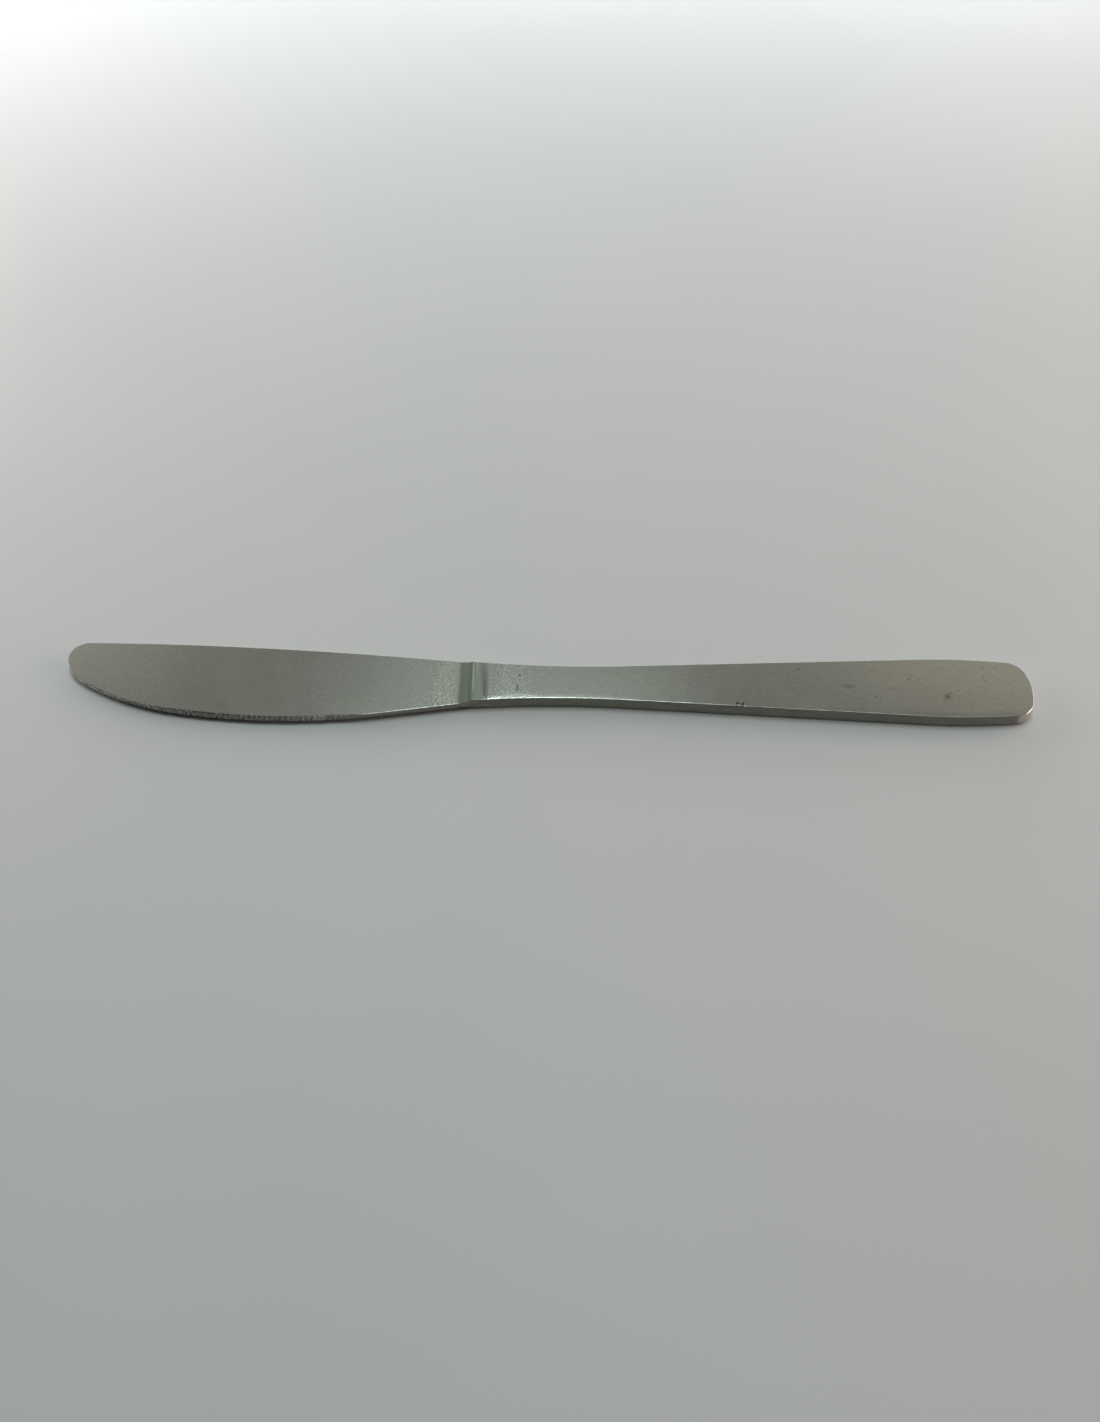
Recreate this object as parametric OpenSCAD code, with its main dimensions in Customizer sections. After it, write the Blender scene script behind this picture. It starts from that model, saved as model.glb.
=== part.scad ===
// Dessert knife: a ground, fine-toothed blade butt-welded to a flat handle.
// Frame, in millimetres: X runs along the knife with +X toward the butt, +Y points to the
// spine and +Z comes up out of the upper face. The origin is halfway along the knife, on the
// handle's centre line, on the flat underside that the handle rests on.

/* [Whole knife] */
// Length from the tip to the butt end
overall_len = 205.8; // [196:0.2:216]
// Thickness of the handle
handle_t = 3; // [2.6:0.1:3.6]
// Radius on the long edges of the stamped blanks
edge_r = 0.4; // [0.2:0.05:0.6]

/* [Blade outline] */
// Length from the tip to the weld
blade_len = 87.4; // [84:0.2:94]
// Height of the spine over the centre line, at the tip
spine_rise = 9.95; // [9.2:0.05:11]
// Depth of the cutting edge under the centre line, at its lowest point
belly_drop = 10.5; // [9.5:0.1:11.5]
// Distance from the tip to the lowest point of the cutting edge
belly_at = 47; // [44:0.5:50]
// Radius of the long belly curve
belly_r = 130; // [115:1:150]
// Radius of the curve from the belly up to the nose
front_r = 56; // [50:1:62]
// Radius of the nose
nose_r = 8.2; // [7.6:0.1:9]
// Height of the foremost point of the nose over the centre line
nose_rise = 6.6; // [6.2:0.1:6.9]
// Radius of the corner between nose and spine
tip_corner_r = 3.8; // [3:0.1:4.5]

/* [Blade grind] */
// Thickness at the spine
spine_t = 2.1; // [1.8:0.05:2.4]
// Thickness along the cutting edge before it is toothed
edge_t = 1.1; // [0.9:0.05:1.4]
// Depth that each face is ground down by at the tip
tip_thin = 0.3; // [0.2:0.05:0.4]
// Length of that taper, from the tip
thin_len = 30; // [24:1:38]
// Radius of the hollow where the grind runs out to the weld
runout_r = 8; // [6:0.5:12]
// Length of that hollow
runout_len = 3.3; // [2.5:0.1:4]

/* [Teeth] */
// Number of teeth
tooth_count = 58; // [40:1:60]
// Distance between teeth along the edge
tooth_pitch = 1.1; // [0.9:0.05:1.15]
// Depth of the gashes between the teeth
tooth_depth = 0.3; // [0.2:0.02:0.4]
// Width of the toothed bevel, seen from above
bevel_w = 0.55; // [0.4:0.05:0.8]
// Thickness left under the bevel at the edge
edge_land = 0.25; // [0.15:0.05:0.35]
// Plain edge left round the nose before the first tooth
nose_plain = 3.4; // [1:0.2:6]

/* [Weld] */
// Width of the weld across the neck
weld_w = 1.5; // [0.8:0.1:3]
// Depth that dressing the weld leaves under each handle face
dress_depth = 0.1; // [0.05:0.05:0.2]
// Length over which the dressing runs out on the handle
dress_len = 1.7; // [1:0.1:4]

/* [Handle] */
// Narrowest width, at the neck
neck_w = 8.95; // [8:0.05:10]
// Distance from the weld to the narrowest place
neck_at = 19.8; // [16:0.2:24]
// Radius of the hollow neck curve
waist_r = 220; // [190:5:260]
// Widest width, near the butt
butt_w = 16.35; // [15:0.05:18]
// Distance from the butt end to the widest place
butt_at = 17; // [14:0.5:22]
// Radius of the flank at the widest place
flank_r = 120; // [90:5:150]
// Radius of the two butt corners
butt_corner_r = 4.2; // [3:0.1:6]
// Radius of the butt end
butt_end_r = 16; // [12:0.5:24]

/* [Output] */
// Piece to draw

/* [Hidden] */
// How far a facet may stray from the true curve
curve_tol = 0.004;
// Facets across a rolled edge, the tip taper and the run-out hollow, and the hollow's sweep
roll_steps = 4;
taper_steps = 10;
hollow_steps = 10;
hollow_sweep = 60;
// Length by which a cutter or an untrimmed blank overshoots
over = 4;

mid_z = handle_t / 2;
tip_x = -overall_len / 2;
butt_x = overall_len / 2;
blade_end = tip_x + blade_len;
handle_front = blade_end + weld_w;
neck_x = handle_front + neck_at;
butt_wide_x = butt_x - butt_at;

// Half the width of the neck curve at a place along the knife
function waist(x) = neck_w / 2 + waist_r - sqrt(pow(waist_r, 2) - pow(x - neck_x, 2));

function at_angle(a) = [cos(a), sin(a)];
function angle_of(v) = (atan2(v.y, v.x) + 360) % 360;
function unit(v) = v / norm(v);
function turned(v) = [-v.y, v.x];
function flipped(path) = [for (i = [len(path) - 1:-1:0]) path[i]];

// Points of an arc from angle a0 to a1, without its last point
function arc(c, r, a0, a1) =
    let (n = ceil(abs(a1 - a0) / (2 * acos(1 - curve_tol / r))))
    [for (i = [0:n - 1]) c + r * at_angle(a0 + (a1 - a0) * i / n)];

// Point at distance r0 from c0 and r1 from c1, on the left of the line from c0 to c1
function meet(c0, r0, c1, r1) =
    let (d = norm(c1 - c0))
    let (along = (d * d + r0 * r0 - r1 * r1) / (2 * d))
    c0 + along * unit(c1 - c0) + sqrt(r0 * r0 - along * along) * turned(unit(c1 - c0));

// Blade outline: circles that touch each other, from the spine round the nose to the heel
root_y = waist(blade_end);
spine_drop = spine_rise - root_y;
spine_r = (pow(blade_len, 2) + pow(spine_drop, 2)) / (2 * spine_drop);
spine_c = [tip_x, spine_rise - spine_r];
nose_c = [tip_x + nose_r, nose_rise];
corner_c = meet(spine_c, spine_r - tip_corner_r, nose_c, nose_r - tip_corner_r);
belly_c = [tip_x + belly_at, belly_r - belly_drop];
front_c = meet(belly_c, belly_r - front_r, nose_c, front_r - nose_r);
root_front = [blade_end, -root_y];
heel_a = angle_of(root_front - belly_c) - acos(belly_r / norm(root_front - belly_c));

nose_back_a = angle_of(corner_c - nose_c);
nose_front_a = angle_of(nose_c - front_c);
belly_front_a = angle_of(front_c - belly_c);

cutting_edge = concat(
    arc(nose_c, nose_r, nose_back_a, nose_front_a),
    arc(front_c, front_r, nose_front_a, belly_front_a),
    arc(belly_c, belly_r, belly_front_a, heel_a),
    [belly_c + belly_r * at_angle(heel_a)]
);

blade_outline = concat(
    [[handle_front, waist(handle_front)]],
    arc(spine_c, spine_r, angle_of([blade_end, root_y] - spine_c), angle_of(corner_c - spine_c)),
    arc(corner_c, tip_corner_r, angle_of(corner_c - spine_c), nose_back_a),
    cutting_edge,
    [root_front, [handle_front, -waist(handle_front)]]
);

// Handle outline: neck curve, straight flare, flank, corner and butt end, on one side
waist_c = [neck_x, neck_w / 2 + waist_r];
flank_c = [butt_wide_x, butt_w / 2 - flank_r];
butt_end_c = [butt_x - butt_end_r, 0];
butt_corner_c = meet(butt_end_c, butt_end_r - butt_corner_r, flank_c, flank_r - butt_corner_r);
flare_v = flank_c - waist_c;
flare_normal = angle_of(flare_v) + acos(-(waist_r + flank_r) / norm(flare_v)) - 360;
blank_front = blade_end - over;
butt_corner_a = angle_of(butt_corner_c - butt_end_c);

handle_side = concat(
    arc(butt_end_c, butt_end_r, 0, butt_corner_a),
    arc(butt_corner_c, butt_corner_r, butt_corner_a, angle_of(butt_corner_c - flank_c)),
    arc(flank_c, flank_r, angle_of(butt_corner_c - flank_c), flare_normal),
    arc(waist_c, waist_r, flare_normal + 180, angle_of([blank_front, waist(blank_front)] - waist_c)),
    [[blank_front, waist(blank_front)]]
);
handle_outline = concat(
    [for (i = [len(handle_side) - 1:-1:1]) [handle_side[i].x, -handle_side[i].y]],
    handle_side
);

// Direction into the outline at one of its points
function inward(path, i) =
    turned(unit(path[min(i + 1, len(path) - 1)] - path[max(i - 1, 0)]));

// Flat plate with rolled edges, skinned ring by ring from the lower face to the upper one.
// The caps join opposite points of the outline in pairs, so they follow a hollow neck.
module rolled_plate(outline) {
    n = len(outline);
    roll = [for (k = [0:roll_steps])
        let (a = 90 * k / roll_steps) edge_r * [1 - sin(a), 1 - cos(a)]];
    rings = concat(roll, [for (q = flipped(roll)) [q.x, handle_t - q.y]]);
    points = [for (ring = rings, i = [0:n - 1])
        let (p = outline[i] + ring.x * inward(outline, i)) [p.x, p.y, ring.y]];
    sides = [for (k = [0:len(rings) - 2], i = [0:n - 1])
        let (a = k * n + i, b = k * n + (i + 1) % n)
        each [[a, a + n, b + n], [a, b + n, b]]];
    cap = [for (i = [0:floor((n - 3) / 2)])
        let (j = n - 1 - i)
        each i + 1 < j - 1 ? [[i, i + 1, j], [i + 1, j - 1, j]] : [[i, i + 1, j]]];
    last = (len(rings) - 1) * n;
    lid = [for (t = cap) [last + t[2], last + t[1], last + t[0]]];
    polyhedron(points, concat(cap, sides, lid), convexity = 4);
}

// Repeats a cut made in the upper face on the lower face
module both_faces() {
    children();
    translate([0, 0, handle_t]) mirror([0, 0, 1]) children();
}

// Extrudes an outline drawn in X and Z right across the knife
module across(points) {
    rotate([90, 0, 0])
        linear_extrude(2 * (spine_rise + butt_w), center = true)
            polygon(points);
}

// Keeps what lies between two places along the knife
module between(x0, x1) {
    intersection() {
        children();
        translate([x0, -butt_w, -over]) cube([x1 - x0, 2 * butt_w, handle_t + 2 * over]);
    }
}

// Metal taken off one face when the weld is dressed, running out on the handle
module dressing() {
    land_z = handle_t - dress_depth;
    end_z = handle_t + dress_depth * over / dress_len;
    across([
        [blank_front - over, land_z],
        [handle_front, land_z],
        [handle_front + dress_len + over, end_z],
        [handle_front + dress_len + over, end_z + over],
        [blank_front - over, end_z + over]
    ]);
}

// Metal ground off one blade face: a plane tilted from spine to edge, which bows down toward
// the tip and ends at the weld in a hollow run-out
module face_grind() {
    tilt = atan((spine_t - edge_t) / 2 / (spine_rise + belly_drop));
    taper = [for (k = [0:taper_steps])
        let (s = k / taper_steps) [tip_x + thin_len * s, -tip_thin * pow(1 - s, 2)]];
    hollow_c = [blade_end - runout_len, runout_r];
    hollow = [for (k = [0:hollow_steps])
        hollow_c + runout_r * at_angle(-90 + hollow_sweep * k / hollow_steps)];
    translate([0, -belly_drop, mid_z + edge_t / 2])
        rotate([tilt, 0, 0])
            across(concat(
                [[tip_x - over, -tip_thin]],
                taper,
                hollow,
                [hollow_c + [runout_r, runout_r], [tip_x - over, 2 * runout_r]]
            ));
}

// Point and direction after walking a length along a path, straight on past its end
function walk(path, length, i = 0) =
    let (step = path[i + 1] - path[i])
    length <= norm(step) || i + 2 >= len(path)
        ? [path[i] + length * unit(step), angle_of(step)]
        : walk(path, length - norm(step), i + 1);

// Metal ground off the edge: one cutter swept from the nose to the heel, whose bevel face
// zigzags between the top of a tooth and the bottom of the gash beside it
module tooth_cutter() {
    bevel_a = atan((edge_t - edge_land) / bevel_w);
    up = at_angle(bevel_a);
    into = -turned(up);
    reach = bevel_w + edge_t;
    sections = [for (depth = [0, tooth_depth]) [
        depth * into - handle_t / 2 * up,
        depth * into + handle_t * up,
        -reach * into + handle_t * up,
        -reach * into - handle_t / 2 * up
    ]];
    steps = 2 * tooth_count;
    land_z = mid_z - edge_t / 2 + edge_land;
    points = [for (i = [0:steps])
        let (place = walk(cutting_edge, nose_plain + i * tooth_pitch / 2))
        for (q = sections[i % 2])
            let (p = place[0] + q.x * turned(at_angle(place[1]))) [p.x, p.y, land_z + q.y]];
    sides = [for (i = [0:steps - 1], k = [0:3])
        let (a = 4 * i + k, b = 4 * i + (k + 1) % 4)
        each [[a, a + 4, b + 4], [a, b + 4, b]]];
    last = 4 * steps;
    ends = [[0, 1, 2], [0, 2, 3], [last + 2, last + 1, last], [last + 3, last + 2, last]];
    polyhedron(points, concat(sides, ends), convexity = 4);
}

// Blade, ground from a blank as thick as the handle
module blade() {
    color("silver")
        difference() {
            between(tip_x - over, blade_end) rolled_plate(blade_outline);
            both_faces() dressing();
            both_faces() face_grind();
            tooth_cutter();
        }
}

// Band of weld metal, dressed just under the handle's faces
module weld_band() {
    color("dimgray")
        difference() {
            between(blade_end, handle_front) rolled_plate(handle_outline);
            both_faces() dressing();
        }
}

// Flat handle, which the knife rests on
module handle() {
    color("gainsboro")
        difference() {
            between(handle_front, butt_x + over) rolled_plate(handle_outline);
            both_faces() dressing();
        }
}

blade();
weld_band();
handle();
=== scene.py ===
# %% [markdown]
# # A dessert knife on a pale table
# The knife is three pieces of steel: a ground blade, a narrow band of weld and a flat handle.
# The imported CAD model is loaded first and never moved. It says where every piece sits, so the
# surfaces below are worked out in its frame and ride on its one body.

import bmesh
import bpy
import numpy as np
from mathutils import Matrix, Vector


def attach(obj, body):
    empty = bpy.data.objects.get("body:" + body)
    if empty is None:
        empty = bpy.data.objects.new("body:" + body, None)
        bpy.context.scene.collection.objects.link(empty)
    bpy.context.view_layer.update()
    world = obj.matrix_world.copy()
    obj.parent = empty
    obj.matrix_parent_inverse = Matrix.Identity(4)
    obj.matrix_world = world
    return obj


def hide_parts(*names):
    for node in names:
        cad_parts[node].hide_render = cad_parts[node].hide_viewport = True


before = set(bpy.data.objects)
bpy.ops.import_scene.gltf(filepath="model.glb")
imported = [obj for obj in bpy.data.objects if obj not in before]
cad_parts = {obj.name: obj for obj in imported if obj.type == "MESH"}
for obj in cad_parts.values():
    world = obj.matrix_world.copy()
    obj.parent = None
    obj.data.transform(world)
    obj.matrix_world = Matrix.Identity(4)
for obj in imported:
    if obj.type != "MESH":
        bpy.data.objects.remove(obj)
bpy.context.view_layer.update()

# %% [markdown]
# ## Camera
# The picture was taken from close by, looking down at the knife at about 49 degrees, with a lens
# near normal for the frame. A camera can be placed by eye, or worked out from the outline of a
# piece whose shape is known. The handle is symmetric, so its outline fixed the place below. The
# lens is given for a sensor of 36 mm, which lies along the taller side of the picture.

# %% Camera
MM = 0.001
image_height = 1422
focal_pixels = 1356.4
camera_place = Vector((5.22, -193.11, 215.69)) * MM
look_down = np.radians(49.0)
look_left = np.radians(1.174)

camera = bpy.data.objects.new("camera", bpy.data.cameras.new("camera"))
camera.data.sensor_width = 36.0
camera.data.lens = camera.data.sensor_width * focal_pixels / image_height
camera.location = camera_place
camera.rotation_euler = (np.pi / 2 - look_down, 0.0, look_left)
bpy.context.scene.collection.objects.link(camera)
bpy.context.scene.camera = camera
bpy.context.scene.view_settings.view_transform = "Standard"
print("lens, mm:", round(camera.data.lens, 2))

# %% [markdown]
# ## Sizes
# The same driving sizes as the CAD model, in millimetres. The outlines are circles that touch,
# so a few radii and heights give every curve of the knife. Two differ a little from the solid:
# the wheel's hollow is longer and the dressed ramp shorter, as the shading at the weld shows.

# %% Sizes of the knife, in millimetres
overall_len = 205.8
handle_t = 3.0
edge_r = 0.4
blade_len = 87.4
spine_rise = 9.95
belly_drop = 10.5
belly_at = 47.0
belly_r = 130.0
front_r = 56.0
nose_r = 8.2
nose_rise = 6.6
tip_corner_r = 3.8
spine_t = 2.1
edge_t = 1.1
tip_thin = 0.3
thin_len = 30.0
runout_r = 9.5
runout_from = -18.45
weld_w = 1.5
dress_depth = 0.1
dress_from = -13.2
dress_len = 1.1
neck_w = 8.95
neck_at = 19.8
waist_r = 220.0
butt_w = 16.35
butt_at = 17.0
flank_r = 120.0
butt_corner_r = 4.2
butt_end_r = 16.0

mid_z = handle_t / 2
tip_x = -overall_len / 2
butt_x = overall_len / 2
blade_end = tip_x + blade_len
handle_front = blade_end + weld_w
neck_x = handle_front + neck_at
print("blade ends at", round(blade_end, 2), "and the handle starts at", round(handle_front, 2))

# %% [markdown]
# ## Outlines
# A blanking die cuts the outline of a knife, and a die maker draws it with compasses. Each
# outline is built here the same way, as arcs that run into each other, and is then walked by
# length, so that points can be set closer together where the shape needs them.

# %% Arcs that touch, and walking along them
ARC_POINTS = 600
SAME_POINT = 1e-6


def heading(v):
    """Direction of a flat vector, in degrees from +X, from 0 to 360."""
    return np.degrees(np.arctan2(v[1], v[0])) % 360


def touching(c0, r0, c1, r1):
    """Point at distance r0 from c0 and r1 from c1, on the left of the line from c0 to c1."""
    line = c1 - c0
    d = np.linalg.norm(line)
    along = (d * d + r0 * r0 - r1 * r1) / (2 * d)
    left = np.array([-line[1], line[0]]) / d
    return c0 + along * line / d + np.sqrt(r0 * r0 - along * along) * left


def arc(centre, radius, start, end):
    """Points of a circle, centre + radius (cos a, sin a), with a from start to end in degrees."""
    a = np.radians(np.linspace(start, end, ARC_POINTS))
    return centre + radius * np.stack([np.cos(a), np.sin(a)], axis=1)


def joined(*parts):
    """One path from several, without the points that repeat where two parts meet."""
    path = np.concatenate(parts)
    keep = np.linalg.norm(np.diff(path, axis=0), axis=1) > SAME_POINT
    return path[np.concatenate([[True], keep])]


def length_along(path):
    """Distance walked from the start of a path to each of its points."""
    step = np.linalg.norm(np.diff(path, axis=0), axis=1)
    return np.concatenate([[0.0], np.cumsum(step)])


def walk(path, distance, side):
    """Points at the given distances along a path, and unit vectors into the plate there.
    The vector is the path's direction turned a quarter left, times side."""
    length = length_along(path)
    way = np.gradient(path, length, axis=0)
    place = np.stack([np.interp(distance, length, path[:, k]) for k in (0, 1)], axis=1)
    turn = np.stack([np.interp(distance, length, way[:, k]) for k in (0, 1)], axis=1)
    inward = side * np.stack([-turn[:, 1], turn[:, 0]], axis=1)
    return place, inward / np.linalg.norm(inward, axis=1, keepdims=True)


def waist(x):
    """Half the width of the neck: a circle of radius waist_r that bows in toward the middle."""
    return neck_w / 2 + waist_r - np.sqrt(waist_r**2 - (x - neck_x) ** 2)


print("neck at the weld, mm:", round(2 * waist(handle_front), 2))

# %% Outline of the blade
root_y = waist(blade_end)
spine_drop = spine_rise - root_y
spine_r = (blade_len**2 + spine_drop**2) / (2 * spine_drop)
spine_c = np.array([tip_x, spine_rise - spine_r])
nose_c = np.array([tip_x + nose_r, nose_rise])
corner_c = touching(spine_c, spine_r - tip_corner_r, nose_c, nose_r - tip_corner_r)
belly_x = tip_x + belly_at
belly_c = np.array([belly_x, belly_r - belly_drop])
front_c = touching(belly_c, belly_r - front_r, nose_c, front_r - nose_r)
root_back = np.array([blade_end, root_y])
root_front = np.array([blade_end, -root_y])
to_root = root_front - belly_c
heel_a = heading(to_root) - np.degrees(np.arccos(belly_r / np.linalg.norm(to_root)))
heel_point = arc(belly_c, belly_r, heel_a, heel_a)[:1]

nose_back_a = heading(corner_c - nose_c)
nose_front_a = heading(nose_c - front_c)
belly_front_a = heading(front_c - belly_c)
spine_path = joined(
    arc(spine_c, spine_r, heading(root_back - spine_c), heading(corner_c - spine_c)),
    arc(corner_c, tip_corner_r, heading(corner_c - spine_c), nose_back_a),
)
heel_line = root_front + np.linspace(0, 1, 200)[:, None] * (heel_point - root_front)
edge_path = joined(
    heel_line,
    arc(belly_c, belly_r, heel_a, belly_front_a),
    arc(front_c, front_r, belly_front_a, nose_front_a),
    arc(nose_c, nose_r, nose_front_a, nose_back_a),
)
spine_len = length_along(spine_path)[-1]
edge_len = length_along(edge_path)[-1]
print("spine", round(spine_len, 2), "mm, cutting side", round(edge_len, 2), "mm")

# %% Outline of one side of the handle
waist_c = np.array([neck_x, neck_w / 2 + waist_r])
flank_c = np.array([butt_x - butt_at, butt_w / 2 - flank_r])
butt_end_c = np.array([butt_x - butt_end_r, 0.0])
butt_corner_c = touching(
    butt_end_c, butt_end_r - butt_corner_r, flank_c, flank_r - butt_corner_r
)
flare = flank_c - waist_c
flare_bend = np.degrees(np.arccos(-(waist_r + flank_r) / np.linalg.norm(flare)))
flare_normal = heading(flare) + flare_bend - 360
front_point = np.array([handle_front, waist(handle_front)])
flare_start = arc(waist_c, waist_r, flare_normal + 180, flare_normal + 180)[:1]
flare_end = arc(flank_c, flank_r, flare_normal, flare_normal)[:1]
butt_corner_a = heading(butt_corner_c - butt_end_c)
flank_end_a = heading(butt_corner_c - flank_c)
handle_path = joined(
    arc(waist_c, waist_r, heading(front_point - waist_c), flare_normal + 180),
    flare_start + np.linspace(0, 1, 400)[:, None] * (flare_end - flare_start),
    arc(flank_c, flank_r, flare_normal, flank_end_a),
    arc(butt_corner_c, butt_corner_r, flank_end_a, butt_corner_a),
    arc(butt_end_c, butt_end_r, butt_corner_a, 0.0),
)
handle_side_len = length_along(handle_path)[-1]
print("one side of the handle", round(handle_side_len, 2), "mm")

# %% [markdown]
# ## Skinning a plate
# All three pieces are thin plates with worked edges. Each is a row of closed rings across the
# knife: over the upper face, round one edge, back under the lower face and round the other
# edge. Extruding an outline would leave sharp corners, and bevelling those would not follow
# a bevel that changes along the edge. A ring that is a formula can do both.

# %% Easing and blending
def smooth(t):
    """Eases from 0 to 1 as t goes from 0 to 1, level at both ends."""
    t = np.clip(t, 0.0, 1.0)
    return t * t * (3 - 2 * t)


def bell(t):
    """A bell curve, exp(-t^2), that is 1 at 0 and has almost gone at 2."""
    return np.exp(-(t**2))


def between(x, start, full, full_end, end):
    """A share that eases from 0 at start to 1 at full, and from 1 at full_end to 0 at end."""
    return smooth((x - start) / (full - start)) * smooth((end - x) / (end - full_end))


def lower_of(a, b, blend):
    """The lower of two heights, rounded off over about the blend where they cross."""
    return -blend * np.logaddexp(-a / blend, -b / blend)


print("half way, eased and on the bell curve:", smooth(0.5), round(bell(0.5), 3))

# %% One edge of a plate
# Depths in mm: of a loop that guards a corner, of a face's last loop, and the least shoulder
GUARD = 0.05
INSET = 2.0
LEAST = 0.02
# Steps over the shoulder, round the upper and the lower corner, and down the wall
EASE = np.linspace(0.0, 0.8, 5)
TURN = np.linspace(0.0, 1.0, 9)
LOW_TURN = np.linspace(1.0, 0.0, 6)
WALL_STEPS = np.array([0.25, 0.5, 0.75])


def edge_ring(place, inward, top, under, upper_r, lower_r, ground=None, shoulder=None):
    """One edge of a plate at every station, from the upper face round to the lower one.
    Depth is measured into the plate. A shoulder first lets the face fall away as a parabola,
    width tan(tilt) t^2 / 2. The corner after it is a circle of radius r with depth
    r (1 - sin a) and height r cos a over its centre, with a from the shoulder's tilt to a
    quarter turn. Where the edge is ground, a straight slope from head on the face to foot
    takes its place, mixed in by the share that is ground. A wall goes down from there, and
    the same circle with lower_r ends it."""
    n = len(place)
    zero = np.zeros((n, 1))
    upper_r = np.broadcast_to(upper_r, n)[:, None]
    lower_r = np.broadcast_to(lower_r, n)[:, None]
    share, head, foot, foot_z = ground or (zero, zero, zero, zero)
    width, tilt = shoulder or (zero, zero)

    def spot(depth):
        return place[:, None] + depth[..., None] * inward[:, None]

    def height(face, depth):
        p = spot(depth)
        return face(p[..., 0], p[..., 1])

    wide = width * (1 - share) + LEAST
    drop = wide * np.tan(tilt) / 2 * (1 - share)
    a = tilt + TURN * (np.pi / 2 - tilt)
    start = upper_r * (1 - np.sin(tilt)) * (1 - share) + head * share
    start_z = height(top, start) - drop
    depth_ease = start + wide * (1 - EASE)
    z_ease = height(top, depth_ease) - drop * EASE**2
    depth_up = (1 - share) * upper_r * (1 - np.sin(a)) + share * (head + (foot - head) * TURN)
    round_fall = upper_r * (np.cos(tilt) - np.cos(a))
    z_up = start_z - (1 - share) * round_fall - share * (start_z - foot_z) * TURN

    end = depth_up[:, -1:]
    low_a = LOW_TURN * np.pi / 2
    depth_low = end + lower_r * (1 - np.sin(low_a))
    z_low = height(under, depth_low[:, -1:]) + lower_r * (1 - np.cos(low_a))
    z_wall = z_up[:, -1:] + WALL_STEPS * (z_low[:, :1] - z_up[:, -1:])
    depth_wall = end + 0 * WALL_STEPS

    face_in = np.concatenate([zero + INSET, start + wide + GUARD], axis=1)
    under_in = np.concatenate([depth_low[:, -1:] + GUARD, zero + INSET], axis=1)
    depth = np.concatenate([face_in, depth_ease, depth_up, depth_wall, depth_low, under_in], axis=1)
    z_face = height(top, face_in)
    z_under = height(under, under_in)
    z = np.concatenate([z_face, z_ease, z_up, z_wall, z_low, z_under], axis=1)
    return np.concatenate([spot(depth), z[..., None]], axis=2)


# First and last point of the corner or bevel on an edge, and how many points an edge has
HEAD = 2 + len(EASE)
FOOT = HEAD + len(TURN) - 1
EDGE_COUNT = FOOT + 1 + len(WALL_STEPS) + len(LOW_TURN) + 2
print("points on one edge:", EDGE_COUNT)

# %% Whole rings, and values spread over them
UPPER_POINTS = 9
LOWER_POINTS = 5
# Shares along one edge: on its side wall, on its upper corner and on the torn part below, which is
# left lighter than the top of the wall, where shade is painted
SIDE_WALL = np.concatenate([
    np.zeros(HEAD), smooth(TURN * 2 - 0.3), np.ones(len(WALL_STEPS) + len(LOW_TURN)), [0, 0]
])
CORNER = np.concatenate([np.zeros(HEAD), 1 - TURN**4, np.zeros(EDGE_COUNT - FOOT - 1)])
TORN_AND_SHADE = np.concatenate([np.zeros(FOOT + 1), WALL_STEPS, np.ones(len(LOW_TURN) + 2)])


def across(a, b, face, count):
    """Points of a face between two edges: straight from a to b, at the face's own height."""
    t = np.linspace(0, 1, count + 2)[1:-1, None]
    flat = a[:, None] + (b - a)[:, None] * t
    return np.concatenate([flat, face(flat[..., 0], flat[..., 1])[..., None]], axis=2)


def plate_rings(back, front, top, under):
    """Closed rings: upper face from back to front, front edge, lower face, back edge."""
    upper = across(back[:, 0, :2], front[:, 0, :2], top, UPPER_POINTS)
    lower = across(front[:, -1, :2], back[:, -1, :2], under, LOWER_POINTS)
    return np.concatenate([upper, front, lower, back[:, ::-1]], axis=1)


def over_ring(front_values, back_values=None):
    """Spreads a value given on the two edges over whole rings, with 0 on both faces, and with 0
    on the back edge too if it has no values."""
    n = len(front_values)
    none_up = np.zeros((n, UPPER_POINTS))
    none_low = np.zeros((n, LOWER_POINTS))
    if back_values is None:
        back_values = np.zeros((n, EDGE_COUNT))
    return np.concatenate([none_up, front_values, none_low, back_values[:, ::-1]], axis=1)


print("points on one ring:", UPPER_POINTS + LOWER_POINTS + 2 * EDGE_COUNT)

# %% Putting rings into a mesh
SEW_WITHIN = 1e-7


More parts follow.
